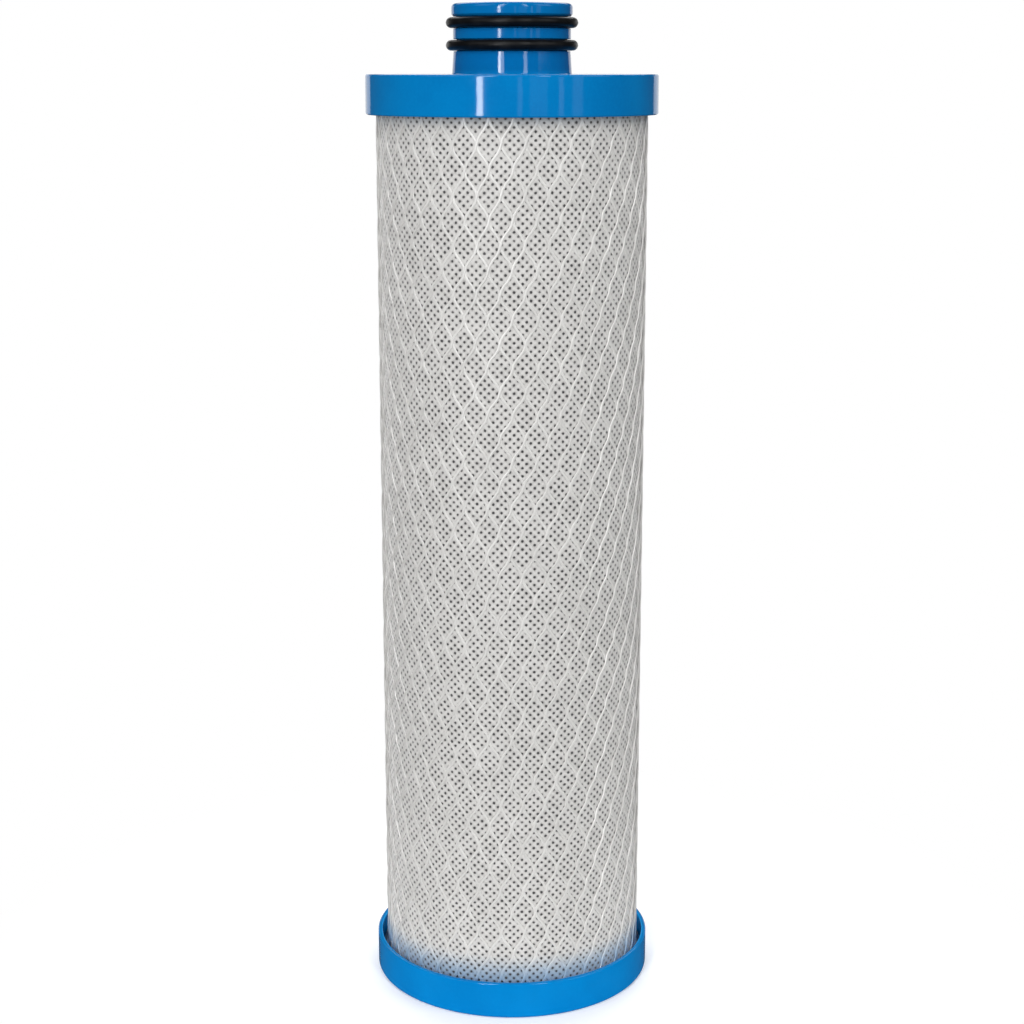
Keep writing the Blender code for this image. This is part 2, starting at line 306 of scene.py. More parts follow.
class Shader:
    """One Principled material, built node by node."""

    def __init__(self, name):
        self.material = bpy.data.materials.new(name)
        self.material.use_nodes = True
        self.tree = self.material.node_tree
        self.surface = self.tree.nodes["Principled BSDF"]
        self.position = self.tree.nodes.new("ShaderNodeTexCoord").outputs["Object"]

    def set(self, **values):
        """Sets or links the surface's inputs, with each space in a name written as an underscore."""
        for name, value in values.items():
            self.feed(self.surface.inputs[name.replace("_", " ")], value)

    def feed(self, socket, value):
        """Links a node output to a socket, or sets its value."""
        if isinstance(value, bpy.types.NodeSocket):
            self.tree.links.new(value, socket)
        elif isinstance(value, tuple) and len(value) == 3 and socket.type == "RGBA":
            socket.default_value = (*value, 1.0)
        else:
            socket.default_value = value

    def node(self, kind, inputs=None, **settings):
        """A new node with its settings, and with its inputs linked or set."""
        made = self.tree.nodes.new(kind)
        for name, value in settings.items():
            setattr(made, name, value)
        for key, value in (inputs or {}).items():
            self.feed(made.inputs[key], value)
        return made

    def maths(self, operation, first, second=0.0):
        return self.node("ShaderNodeMath", {0: first, 1: second}, operation=operation).outputs[0]

    def ramp(self, value, low, high, to_low=0.0, to_high=1.0):
        """value mapped smoothly from low..high to to_low..to_high."""
        keys = {"Value": value, "From Min": low, "From Max": high, "To Min": to_low, "To Max": to_high}
        return self.node("ShaderNodeMapRange", keys, interpolation_type="SMOOTHSTEP").outputs["Result"]

    def scaled(self, factors):
        """The object coordinates times a factor for each axis."""
        inputs = {0: self.position, 1: factors}
        return self.node("ShaderNodeVectorMath", inputs, operation="MULTIPLY").outputs[0]

    def length(self, vector):
        return self.node("ShaderNodeVectorMath", {0: vector}, operation="LENGTH").outputs["Value"]

    def noise(self, scale, detail=2.0, roughness=0.5):
        """Noise with scale cells to the metre. A scale for each axis draws the cells out."""
        vector = self.position
        if isinstance(scale, tuple):
            vector = self.scaled(scale)
            scale = 1.0
        inputs = {"Vector": vector, "Scale": scale, "Detail": detail, "Roughness": roughness}
        return self.node("ShaderNodeTexNoise", inputs).outputs["Fac"]

    def blend(self, factor, first, second, mode="MIX"):
        """Two colours mixed. A Mix node has inputs of one name for each type: 6 and 7 are its colours."""
        made = self.node("ShaderNodeMix", data_type="RGBA", blend_type=mode)
        self.feed(made.inputs["Factor"], factor)
        self.feed(made.inputs[6], first)
        self.feed(made.inputs[7], second)
        return made.outputs[2]

    def bump(self, height, distance, under=None):
        """The normal of a relief of this height, laid over the normal of another if there is one."""
        inputs = {"Height": height, "Distance": distance, "Strength": 1.0}
        if under is not None:
            inputs["Normal"] = under
        return self.node("ShaderNodeBump", inputs).outputs["Normal"]


def angle_of(shader):
    """The shaded point's angle about +Z, from -pi to pi."""
    split = shader.node("ShaderNodeSeparateXYZ", {"Vector": shader.position})
    return shader.maths("ARCTAN2", split.outputs["Y"], split.outputs["X"])


def height_of(shader):
    """The shaded point's height."""
    return shader.node("ShaderNodeSeparateXYZ", {"Vector": shader.position}).outputs["Z"]


def mixed(tree, factor, first, second):
    """A Mix Shader node's output: first where factor is 0, second where it is 1."""
    made = tree.nodes.new("ShaderNodeMixShader")
    for socket, source in zip(made.inputs, (factor, first, second)):
        tree.links.new(source, socket)
    return made.outputs[0]


# ---------------------------------------------------------------- materials

# Painted reflection and shade: the caps' blue painted into the white beside them
CAP_REFLECTED_BLUE = (0.46, 0.66, 0.89)
REFLECTION_START = 0.5 * MM
CUP_REFLECTION_REACH = 7.0 * MM
SKIRT_REFLECTION_REACH = 3.0 * MM
SKIRT_REFLECTION_SHARE = 0.30

# Painted shade: how far up and how much the spigot's blue is darkened above the flange
SPIGOT_SHADE_FADE = 1.5 * MM
SPIGOT_SHADE_SHARE = 0.34

# The bond dots' smallest and largest radius, and how ragged their edges are
DOT_RADII = (0.335 * MM, 0.395 * MM)
DOT_RAGGEDNESS = 0.06 * MM


def painted_cap_reflection(shader, colour, height):
    """Painted reflection and shade: a colour darkened and blued by the caps' blue, gone a few millimetres
    from their edges.
    """
    cup_edge = BOTTOM_RIM_HEIGHT
    from_cup = shader.ramp(height, cup_edge - REFLECTION_START, cup_edge + CUP_REFLECTION_REACH, 1.0, 0.0)
    low = SKIRT_BOTTOM - SKIRT_REFLECTION_REACH
    from_skirt = shader.ramp(height, low, SKIRT_BOTTOM + REFLECTION_START, 0.0, SKIRT_REFLECTION_SHARE)
    shine = shader.maths("ADD", from_cup, from_skirt)
    return shader.blend(shine, colour, CAP_REFLECTED_BLUE, mode="MULTIPLY")


def moulded_blue(name, tone, painted_shade_above=SPIGOT_TOP, inner_face=0.0):
    """Glossy azure moulded plastic: faint mottling, orange peel, and fine scuffs in the gloss.

    tone brightens or dims the colour; the caps' different tones are painted light and shade. Above the
    given height the blue is darkened with painted shade on the spigot. inner_face paints the cup's inner
    face brighter: painted light, for the light that comes through its thin wall.
    """
    deep = (0.0, 0.216 * tone, 0.600 * tone)
    pale = (0.0, 0.250 * tone, 0.665 * tone)
    fleck = (0.004, 0.30, 0.72)
    painted_light_through = (0.0, 0.42, 1.0)
    shade_blue = (0.0, 0.06, 0.21)
    shader = Shader(name)
    fully_shaded = painted_shade_above + SPIGOT_SHADE_FADE
    # Painted shade: the blue is darkened on the spigot, above the given height.
    spigot_shade = shader.ramp(height_of(shader), painted_shade_above, fully_shaded, 0.0, SPIGOT_SHADE_SHARE)
    radius = shader.length(shader.scaled((1.0, 1.0, 0.0)))
    inside = shader.ramp(radius, CAP_RADIUS - CAP_WALL, CAP_RADIUS - CAP_WALL / 2, inner_face, 0.0)
    mottle = shader.noise(60.0, detail=3.0)
    grain = shader.noise(1400.0)
    tint = shader.blend(shader.ramp(mottle, 0.3, 0.7), deep, pale)
    tint = shader.blend(shader.ramp(grain, 0.35, 0.75, 0.0, 0.06), tint, fleck)
    # Painted light: the cup's inner face is painted a brighter blue.
    tint = shader.blend(inside, tint, painted_light_through)
    colour = shader.blend(spigot_shade, tint, shade_blue)
    scuffs = shader.noise((300.0, 300.0, 2600.0), detail=4.0, roughness=0.6)
    scuffed = shader.ramp(scuffs, 0.6, 0.8, 0.0, 0.07)
    smudged = shader.ramp(shader.noise(110.0, detail=3.0), 0.35, 0.75, 0.055, 0.11)
    gloss = shader.maths("ADD", smudged, scuffed)
    peel = shader.bump(shader.noise(420.0), 0.012 * MM)
    normal = shader.bump(scuffs, 0.002 * MM, under=peel)
    shader.set(Base_Color=colour, Roughness=gloss, Normal=normal, IOR=1.46, Specular_IOR_Level=0.30)
    return shader.material


def black_rubber():
    """Moulded nitrile rubber: near black, satin, with a fine bloom and a pebbly skin."""
    black = (0.0035, 0.0035, 0.004)
    bloomed = (0.009, 0.009, 0.010)
    shader = Shader("black_nitrile_rubber")
    bloom = shader.noise(260.0, detail=4.0, roughness=0.65)
    colour = shader.blend(shader.ramp(bloom, 0.45, 0.8), black, bloomed)
    rough = shader.ramp(bloom, 0.3, 0.8, 0.30, 0.44)
    skin = shader.bump(shader.noise(2600.0), 0.010 * MM)
    shader.set(Base_Color=colour, Roughness=rough, Normal=skin, Specular_IOR_Level=0.17)
    return shader.material


def netting_plastic():
    """Extruded translucent polyethylene: milky, softly glossy, with drawn-out streaks."""
    milky = (0.580, 0.575, 0.562)
    milkier = (0.660, 0.655, 0.642)
    drawn = (0.60, 0.60, 0.59)
    shader = Shader("white_netting_plastic")
    streaks = shader.noise((2200.0, 2200.0, 260.0), detail=3.0, roughness=0.6)
    cloud = shader.noise(90.0)
    tint = shader.blend(shader.ramp(cloud, 0.3, 0.7), milky, milkier)
    colour = shader.blend(shader.ramp(streaks, 0.55, 0.85, 0.0, 0.35), tint, drawn)
    # The base colour carries painted reflection and shade of the caps' blue near the caps.
    shader.set(
        Base_Color=painted_cap_reflection(shader, colour, height_of(shader)),
        Roughness=shader.ramp(streaks, 0.3, 0.8, 0.30, 0.42),
        Normal=shader.bump(streaks, 0.012 * MM),
        Subsurface_Weight=0.25,
        Subsurface_Radius=(1.0, 1.0, 1.0),
        Subsurface_Scale=0.6 * MM,
        Specular_IOR_Level=1.0,
        Sheen_Weight=0.45,
        Sheen_Roughness=0.35,
    )
    return shader.material


def nearest_bond_dot(shader, angle, height):
    """The distance to the nearest bond dot's centre, and a number from 0 to 1 that is the dot's own."""
    column = shader.maths("MULTIPLY", angle, BOND_COLUMN_PAIRS / FULL_TURN)
    climbed = shader.maths("SUBTRACT", height, MEDIA_BOTTOM)
    row = shader.maths("MULTIPLY", climbed, 0.5 / BOND_ROW_PITCH)
    diagonals = (shader.maths("ADD", column, row), shader.maths("SUBTRACT", column, row))
    # A dot sits at every whole number of both: rounding gives the nearest dot, the rest the distance.
    nearest = [shader.maths("ROUND", value) for value in diagonals]
    off = [shader.maths("SUBTRACT", value, dot) for value, dot in zip(diagonals, nearest)]
    squares = [shader.maths("MULTIPLY", value, value) for value in off]
    diagonal_pitch = 2 * BOND_ROW_PITCH / math.sqrt(2)
    distance = shader.maths("SQRT", shader.maths("ADD", *squares))
    distance = shader.maths("MULTIPLY", distance, diagonal_pitch)
    cell = shader.node("ShaderNodeCombineXYZ", {"X": nearest[0], "Y": nearest[1]}).outputs[0]
    own = shader.node("ShaderNodeTexWhiteNoise", {"Vector": cell}, noise_dimensions="2D")
    return distance, own.outputs["Value"]


def fibre_noise(shader):
    """Fine fibres, drawn out a little up the height."""
    return shader.noise((2600.0, 2600.0, 1500.0), detail=5.0, roughness=0.7)


def point_bonded_fabric():
    """Spunbond nonwoven: soft fibres between rows of fused dots that let the black block show."""
    grey_web = (0.425, 0.417, 0.406)
    pale_web = (0.500, 0.491, 0.480)
    clump = (0.66, 0.65, 0.64)
    thin_spot = (0.27, 0.262, 0.256)
    fibre = (0.65, 0.64, 0.63)
    puffed = (0.638, 0.630, 0.620)
    fused = (0.020, 0.020, 0.022)
    shader = Shader("point_bonded_nonwoven")
    height = height_of(shader)
    distance, chance = nearest_bond_dot(shader, angle_of(shader), height)
    ragged = shader.ramp(shader.noise(2400.0), 0.2, 0.8, -DOT_RAGGEDNESS, DOT_RAGGEDNESS)
    distance = shader.maths("ADD", distance, ragged)
    ratio = shader.maths("DIVIDE", distance, shader.ramp(chance, 0.0, 1.0, *DOT_RADII))
    inside = shader.ramp(ratio, 0.55, 1.25, 1.0, 0.0)
    pillow = shader.ramp(ratio, 1.10, 2.50)
    dot = shader.maths("MULTIPLY", inside, shader.ramp(chance, 0.0, 0.35, 0.84, 1.0))

    fibres = fibre_noise(shader)
    cloud = shader.noise(160.0, detail=3.0)
    clumps = shader.noise(1100.0, detail=3.0, roughness=0.6)
    web = shader.blend(shader.ramp(cloud, 0.3, 0.7), grey_web, pale_web)
    web = shader.blend(shader.ramp(clumps, 0.45, 0.70, 0.0, 0.60), web, clump)
    web = shader.blend(shader.ramp(clumps, 0.30, 0.48, 0.55, 0.0), web, thin_spot)
    web = shader.blend(shader.ramp(fibres, 0.35, 0.75, 0.0, 0.30), web, fibre)
    web = shader.blend(shader.maths("MULTIPLY", pillow, 0.65), web, puffed)
    relief = shader.bump(fibres, 0.05 * MM)
    # The base colour carries painted reflection and shade of the caps' blue near the caps.
    shader.set(
        Base_Color=shader.blend(dot, painted_cap_reflection(shader, web, height), fused),
        Roughness=shader.ramp(dot, 0.0, 1.0, 0.88, 0.42),
        Normal=shader.bump(shader.maths("SUBTRACT", 1.0, inside), 0.05 * MM, under=relief),
        Sheen_Weight=0.9,
        Sheen_Roughness=0.5,
    )
    return shader.material


def sleeve_fabric():
    """The finer melt-blown nonwoven round the core."""
    shader = Shader("fine_meltblown_nonwoven")
    fibres = fibre_noise(shader)
    colour = shader.blend(shader.ramp(fibres, 0.3, 0.7), (0.60, 0.60, 0.59), (0.84, 0.84, 0.83))
    shader.set(Base_Color=colour, Roughness=0.92, Normal=shader.bump(fibres, 0.05 * MM), Sheen_Weight=0.1)
    return shader.material


def pressed_carbon():
    """Sintered activated carbon: matte black granules with a few glinting faces."""
    shader = Shader("pressed_activated_carbon")
    grains = shader.node("ShaderNodeTexVoronoi", {"Vector": shader.position, "Scale": 1800.0})
    shade = shader.ramp(grains.outputs["Distance"], 0.0, 0.6)
    colour = shader.blend(shade, (0.030, 0.030, 0.031), (0.009, 0.009, 0.010))
    spark = shader.node("ShaderNodeSeparateColor", {"Color": grains.outputs["Color"]}).outputs["Red"]
    rough = shader.ramp(spark, 0.80, 0.95, 0.92, 0.55)
    relief = shader.bump(grains.outputs["Distance"], 0.15 * MM)
    shader.set(Base_Color=colour, Roughness=rough, Normal=relief)
    return shader.material


def natural_plastic():
    """Unpigmented polypropylene of the core: milky, with faint flow marks."""
    shader = Shader("natural_polypropylene")
    flow = shader.noise((500.0, 500.0, 90.0), detail=4.0, roughness=0.55)
    shader.set(
        Base_Color=shader.blend(shader.ramp(flow, 0.3, 0.7), (0.70, 0.70, 0.67), (0.80, 0.80, 0.78)),
        Roughness=shader.ramp(flow, 0.3, 0.8, 0.30, 0.45),
        Normal=shader.bump(flow, 0.02 * MM),
        Subsurface_Weight=0.15,
        Subsurface_Scale=1.0 * MM,
    )
    return shader.material


def hot_melt():
    """Set hot-melt glue: nearly clear, so it takes the cap's blue, with a skinned-over gloss."""
    shader = Shader("set_hot_melt_glue")
    cloud = shader.noise(220.0, detail=4.0, roughness=0.6)
    shader.set(
        Base_Color=shader.blend(shader.ramp(cloud, 0.3, 0.7), (0.015, 0.075, 0.19), (0.05, 0.13, 0.25)),
        Roughness=shader.ramp(cloud, 0.3, 0.8, 0.22, 0.40),
        Normal=shader.bump(cloud, 0.1 * MM),
        Subsurface_Weight=0.1,
        Subsurface_Scale=1.0 * MM,
    )
    return shader.material


# ---------------------------------------------------------------- pieces


def near_angle(angle, target, half_width):
    """1 at the target angle, falling smoothly to 0 half_width away."""
    gap = abs((angle - target + math.pi) % FULL_TURN - math.pi)
    return smooth_step(1 - gap / half_width)


def middle_level(node):
    """The height of a CAD node's middle."""
    low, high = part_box(node)
    return (low.z + high.z) / 2


def make_top_cap(blue):
    """Flange, skirt and grooved spigot, with the spigot's two parting lines."""
    lower_ring = middle_level("lower_o_ring")
    upper_ring = middle_level("upper_o_ring")
    plate_underside = FLANGE_TOP - CAP_PLATE
    inner_radius = CAP_RADIUS - CAP_WALL
    half = GROOVE_HALF_WIDTH
    # Each corner is its radius, its level and the radius of its fillet.
    outline = rounded_outline(
        [
            (CAP_RADIUS, SKIRT_BOTTOM, 0.45 * MM),
            (CAP_RADIUS - SKIRT_DRAFT, FLANGE_TOP, 0.5 * MM),
            (NECK_BASE_RADIUS, FLANGE_TOP, 0.35 * MM),
            (NECK_RADIUS, lower_ring - half, 0.12 * MM),
            (GROOVE_FLOOR_RADIUS, lower_ring - half, 0.25 * MM),
            (GROOVE_FLOOR_RADIUS, lower_ring + half, 0.25 * MM),
            (SPIGOT_LAND_RADIUS, lower_ring + half, 0.2 * MM),
            (SPIGOT_LAND_RADIUS, upper_ring - half, 0.2 * MM),
            (GROOVE_FLOOR_RADIUS, upper_ring - half, 0.25 * MM),
            (GROOVE_FLOOR_RADIUS, upper_ring + half, 0.25 * MM),
            (SPIGOT_TIP_RADIUS - SPIGOT_TIP_SLOPE, upper_ring + half, 0.1 * MM),
            (SPIGOT_TIP_RADIUS, upper_ring + half + SPIGOT_TIP_SLOPE, 0.3 * MM),
            (SPIGOT_TIP_RADIUS, SPIGOT_TOP, 1.0 * MM),
            (SPIGOT_BORE_RADIUS, SPIGOT_TOP, 0.4 * MM),
            (SPIGOT_BORE_RADIUS, FLANGE_TOP, 0.3 * MM),
            (COLLAR_BORE_RADIUS, FLANGE_TOP - BORE_TAPER_HEIGHT, 0.3 * MM),
            (COLLAR_BORE_RADIUS, COLLAR_END, 0.3 * MM),
            (COLLAR_OUTER_RADIUS, COLLAR_END, 0.3 * MM),
            (COLLAR_OUTER_RADIUS, plate_underside, 0),
            (inner_radius, plate_underside, 0.3 * MM),
            (inner_radius, SKIRT_BOTTOM, 0.3 * MM),
        ]
    )
    wall_middle = SPIGOT_BORE_RADIUS + 1.0 * MM
    lines_start = FLANGE_TOP + 0.5 * MM
    lines_end = SPIGOT_TOP - 0.3 * MM

    def parting_lines(radius, level, angle):
        if radius > wall_middle and lines_start < level < lines_end:
            line = max(near_angle(angle, side, PARTING_LINE_HALF_ANGLE) for side in (0.0, math.pi))
            radius += PARTING_LINE_HEIGHT * line
        return radius, level

    cap = lathe("top_cap_moulding", outline, push=parting_lines)
    place(flatten_normals(cap), blue, "end_cap", "top_end_cap")


def make_bottom_cap(blue):
    """Thin-walled cup with a foot ring, a rib and a centre gate below, and a hollow plug into the core."""
    inner_radius = CAP_RADIUS - CAP_WALL
    rib_level = BASE_RECESS_DEPTH - BASE_RIB_HEIGHT
    # Each corner is its radius, its level and the radius of its fillet.
    rim = rounded_outline(
        [
            (FOOT_INNER_RADIUS, 0.0, 0.3 * MM),
            (CAP_RADIUS, 0.0, 1.0 * MM),
            (CAP_RADIUS, BOTTOM_RIM_HEIGHT, 0.45 * MM),
            (inner_radius, BOTTOM_RIM_HEIGHT, 0.35 * MM),
            (inner_radius, CUP_FLOOR, 0.4 * MM),
            (COLLAR_OUTER_RADIUS, CUP_FLOOR, 0.3 * MM),
            (COLLAR_OUTER_RADIUS, PLUG_END, 0.3 * MM),
            (COLLAR_BORE_RADIUS, PLUG_END, 0.3 * MM),
            (COLLAR_BORE_RADIUS, CUP_FLOOR, 0.3 * MM),
            (0.0, CUP_FLOOR, 0),
            (0.0, GATE_END_DEPTH, 0),
            (GATE_RADIUS, GATE_END_DEPTH, 0.15 * MM),
            (GATE_RADIUS + GATE_SLOPE, GATE_DISH_DEPTH, 0.15 * MM),
            (GATE_DISH_RADIUS, GATE_DISH_DEPTH, 0.2 * MM),
            (GATE_DISH_RADIUS + GATE_DISH_SLOPE, BASE_RECESS_DEPTH, 0.2 * MM),
            (BASE_RIB_INNER_RADIUS - BASE_RIB_SLOPE, BASE_RECESS_DEPTH, 0.1 * MM),
            (BASE_RIB_INNER_RADIUS, rib_level, 0.1 * MM),
            (BASE_RIB_OUTER_RADIUS, rib_level, 0.1 * MM),
            (BASE_RIB_OUTER_RADIUS + BASE_RIB_SLOPE, BASE_RECESS_DEPTH, 0.1 * MM),
            (FOOT_INNER_RADIUS - FOOT_SLOPE, BASE_RECESS_DEPTH, 0.3 * MM),
        ]
    )
    # The outline is opened at the axis, where the turned shape closes by itself.
    on_axis = [index for index, point in enumerate(rim) if point[0] == 0.0]
    outline = rim[on_axis[1] :] + rim[: on_axis[0] + 1]
    cap = lathe("bottom_cap_moulding", outline, closed=False)
    place(flatten_normals(cap), blue, "end_cap", "bottom_end_cap")


def make_o_ring(node, rubber):
    """An O-ring with the thin mould flash round its outside and inside."""
    level = middle_level(node)
    centre_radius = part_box(node)[1].x - O_RING_SECTION / 2
    outline = []
    for side in range(O_RING_SIDES):
        angle = FULL_TURN * side / O_RING_SIDES
        flash = FLASH_LINE_HEIGHT if side in (0, O_RING_SIDES // 2) else 0.0
        size = O_RING_SECTION / 2 - FLASH_LINE_HEIGHT + flash
        outline.append((centre_radius + size * math.cos(angle), level + size * math.sin(angle)))
    ring = lathe(node + "_moulding", outline)
    place(ring, rubber, "o_ring", node)


def lap_rise(travelled_deg):
    """How far, from 0 to 1 layer, the rolled sheet has climbed onto its own first edge."""
    return smooth_step((travelled_deg - (360.0 - WRAP_RAMP_DEG)) / WRAP_RAMP_DEG)


def seam_lift(angle):
    """How far, from 0 to 1 layer, the lapped seam lifts what lies on the wrap at this angle."""
    travelled = (math.degrees(angle) - WRAP_SEAM_DEG) % 360.0
    falling = 1 - smooth_step((travelled - WRAP_OVERLAP_DEG) / WRAP_EDGE_FALL_DEG)
    return max(lap_rise(travelled), falling)


def make_wrap(fabric):
    """The rolled sheet: a dimple at every bond dot, and a lapped seam where its edge rides up."""
    outer_radius = BODY_RADIUS - 2 * STRAND_HALF_HEIGHT - STRAND_LAYER_GAP + WRAP_PRESSED_IN
    column_step = math.pi / BOND_COLUMN_PAIRS
    columns = round(math.radians(360.0 + WRAP_OVERLAP_DEG) / column_step)
    first_column = round(math.radians(WRAP_SEAM_DEG) / column_step)
    rows = int((MEDIA_TOP - MEDIA_BOTTOM) / BOND_ROW_PITCH)
    top_level = MEDIA_BOTTOM + rows * BOND_ROW_PITCH
    outer_face = []
    inner_face = []
    for column in range(columns + 1):
        angle = (first_column + column) * column_step
        rise = WRAP_THICKNESS * lap_rise(math.degrees(column * column_step))
        for row in range(rows + 1):
            level = MEDIA_BOTTOM + row * BOND_ROW_PITCH
            on_dot = (first_column + column + row) % 2 == 0
            swirl = math.sin(WRAP_RIPPLES_AROUND * angle + WRAP_RIPPLE_TWIST * level)
            ripple = WRAP_RIPPLE * swirl * math.sin(WRAP_RIPPLE_CLIMB * level)
            radius = outer_radius + rise + ripple - (BOND_DEPTH if on_dot else 0.0)
            outer_face.append(at(radius, angle, level))
        for level in (MEDIA_BOTTOM, top_level):
            inner_face.append(at(outer_radius + rise - WRAP_THICKNESS, angle, level))
    inner_start = len(outer_face)
    faces = []
    for column in range(columns):
        here = column * (rows + 1)
        there = here + rows + 1
        for row in range(rows):
            corners = (here + row, there + row, there + row + 1, here + row + 1)
            # The dimples stay round if the fold between two dots runs along the ridge.
            if (first_column + column + row) % 2 == 0:
                faces.append((corners[0], corners[1], corners[3]))
                faces.append((corners[1], corners[2], corners[3]))
            else:
                faces.append((corners[0], corners[1], corners[2]))
                faces.append((corners[0], corners[2], corners[3]))
        inner_here = inner_start + 2 * column
        inner_there = inner_here + 2
        faces.append((inner_here, inner_here + 1, inner_there + 1, inner_there))
        faces.append((here, inner_here, inner_there, there))
        faces.append((here + rows, there + rows, inner_there + 1, inner_here + 1))
    for column in (0, columns):
        edge = column * (rows + 1)
        inner_edge = inner_start + 2 * column
        side = [edge + row for row in range(rows + 1)]
        faces.append(tuple(side + [inner_edge + 1, inner_edge]))
    wrap = mesh_object("prefilter_wrap_sheet", outer_face + inner_face, faces, WRAP_SHARP_DEG)
    place(wrap, fabric, "nonwoven", "prefilter_wrap")


def net_drift(angle, level):
    """Small wander of the net: how far a point is turned, and how far it is lifted."""
    return waves(NET_TURN_WAVES, angle, level) / BODY_RADIUS, waves(NET_LIFT_WAVES, angle, level)


def strand_ring(angle, level, slope, radius, width):
    """The elliptical section of a strand at one point, square to its run up the cylinder."""
    drift, lift = net_drift(angle, level)
    angle += drift
    level = min(max(level + lift, MEDIA_BOTTOM), MEDIA_TOP)
    radius += WRAP_THICKNESS * seam_lift(angle)
    out = Vector(at(1.0, angle, 0.0))
    along = Vector((-math.sin(angle) * slope, math.cos(angle) * slope, 1.0)).normalized()
    across = along.cross(out).normalized()
    centre = out * radius + Vector((0.0, 0.0, level))
    ring = []
    for side in range(STRAND_SIDES):
        turn = FULL_TURN * side / STRAND_SIDES
        sideways = across * (width * math.cos(turn))
        outwards = out * (STRAND_HALF_HEIGHT * math.sin(turn))
        ring.append(centre + sideways + outwards)
    return ring


def make_strands(name, hand, radius):
    """One family of netting strands, each easing upright at the nodes.

    hand is 1 where they climb anticlockwise, seen from above, and -1 where they climb clockwise.
    """
    pitch = FULL_TURN / STRANDS
    gaps = math.ceil((MEDIA_TOP - MEDIA_BOTTOM) / NODE_RISE)
    rise = (MEDIA_TOP - MEDIA_BOTTOM) / gaps
    steps = gaps * STRAND_STEPS_PER_NODE
    vertices = []
    faces = []
    for strand in range(STRANDS):
        first = len(vertices)
        for step in range(steps + 1):
            travelled = step / STRAND_STEPS_PER_NODE
            share = travelled % 1.0
            eased = share - STRAND_WAVE * math.sin(FULL_TURN * share) / FULL_TURN
            speed = 1 - STRAND_WAVE * math.cos(FULL_TURN * share)
            angle = pitch * (strand + hand * (math.floor(travelled) + eased) / 2)
            slope = hand * speed * pitch / 2 * radius / rise
            nearness = (1 + math.cos(FULL_TURN * share)) / 2
            width = STRAND_HALF_WIDTH * (1 + STRAND_NODE_SWELL * nearness)
            vertices.extend(strand_ring(angle, MEDIA_BOTTOM + travelled * rise, slope, radius, width))
        for step in range(steps):
            here = first + step * STRAND_SIDES
            above = here + STRAND_SIDES
            for side in range(STRAND_SIDES):
                following = (side + 1) % STRAND_SIDES
                faces.append((here + side, here + following, above + following, above + side))
        last = first + steps * STRAND_SIDES
        faces.append(tuple(first + side for side in range(STRAND_SIDES)))
        faces.append(tuple(last + side for side in reversed(range(STRAND_SIDES))))
    return mesh_object(name, vertices, faces)


def make_netting(plastic):
    """Two families of strands, one lying over the other and fused to it at every crossing."""
    outer_radius = BODY_RADIUS - STRAND_HALF_HEIGHT
    inner_radius = outer_radius - STRAND_LAYER_GAP
    outer = make_strands("netting_outer_strands", hand=1, radius=outer_radius)
    inner = make_strands("netting_inner_strands", hand=-1, radius=inner_radius)
    for family in (outer, inner):
        place(family, plastic, "netting", "outer_netting")
        # The strands are thin and translucent, so the light passes through them.
        family.visible_shadow = False


def make_block(carbon):
    """The carbon block, with its cut edges slightly broken."""
    outer_radius = BODY_RADIUS - 2 * STRAND_HALF_HEIGHT - STRAND_LAYER_GAP - 2 * WRAP_THICKNESS
    bore_radius = SLEEVE_RADIUS + BLOCK_BORE_GAP
    outline = rounded_outline(
        [
            (outer_radius, MEDIA_BOTTOM, 0.5 * MM),
            (outer_radius, MEDIA_TOP, 0.5 * MM),
            (bore_radius, MEDIA_TOP, 0.4 * MM),
            (bore_radius, MEDIA_BOTTOM, 0.4 * MM),
        ]
    )
    block = lathe("carbon_block_core", outline, INNER_STEPS)
    place(flatten_normals(block), carbon, "carbon", "carbon_block")


def make_sleeve(fabric):
    """The post-filter sleeve between the core and the block."""
    inner_radius = CORE_RADIUS + SLEEVE_BORE_GAP
    outline = [
        (SLEEVE_RADIUS, MEDIA_BOTTOM),
        (SLEEVE_RADIUS, MEDIA_TOP),
        (inner_radius, MEDIA_TOP),
        (inner_radius, MEDIA_BOTTOM),
    ]
    sleeve = lathe("postfilter_sleeve_sheet", outline, INNER_STEPS)
    place(sleeve, fabric, "nonwoven", "postfilter_sleeve")


def make_core(plastic):
    """The slotted core: rows of windows, each row half a pitch round from the one below."""
    pitch = (MEDIA_TOP - MEDIA_BOTTOM) / CORE_SLOT_ROWS
    levels = [MEDIA_BOTTOM]
    for row in range(CORE_SLOT_ROWS):
        start = MEDIA_BOTTOM + row * pitch + (pitch - CORE_SLOT_LENGTH) / 2
        levels.extend([start, start + CORE_SLOT_LENGTH])
    levels.append(MEDIA_TOP)
    vertices = []
    for level in levels:
        for step in range(CORE_STEPS):
            vertices.append(at(CORE_RADIUS, FULL_TURN * step / CORE_STEPS, level))
    steps_per_window = CORE_STEPS // CORE_SLOTS_AROUND
    faces = []
    for band in range(len(levels) - 1):
        # Every second band holds windows, and every second row of windows is turned.
        shift = steps_per_window // 2 if band % 4 == 1 else 0
        here = band * CORE_STEPS
        above = here + CORE_STEPS
        for step in range(CORE_STEPS):
            in_window = (step + shift) % steps_per_window < steps_per_window // 2
            if band % 2 == 1 and in_window:
                continue
            following = (step + 1) % CORE_STEPS
            faces.append((here + step, here + following, above + following, above + step))
    core = mesh_object("slotted_core", vertices, faces)
    shell = core.modifiers.new("wall", "SOLIDIFY")
    shell.thickness = CORE_WALL
    shell.offset = -1.0
    edges = core.modifiers.new("soft_edges", "BEVEL")
    edges.width = CORE_EDGE_WIDTH
    edges.segments = 2
    edges.limit_method = "ANGLE"
    edges.angle_limit = math.radians(CORE_EDGE_DEG)
    place(core, plastic, "core", "core_tube")


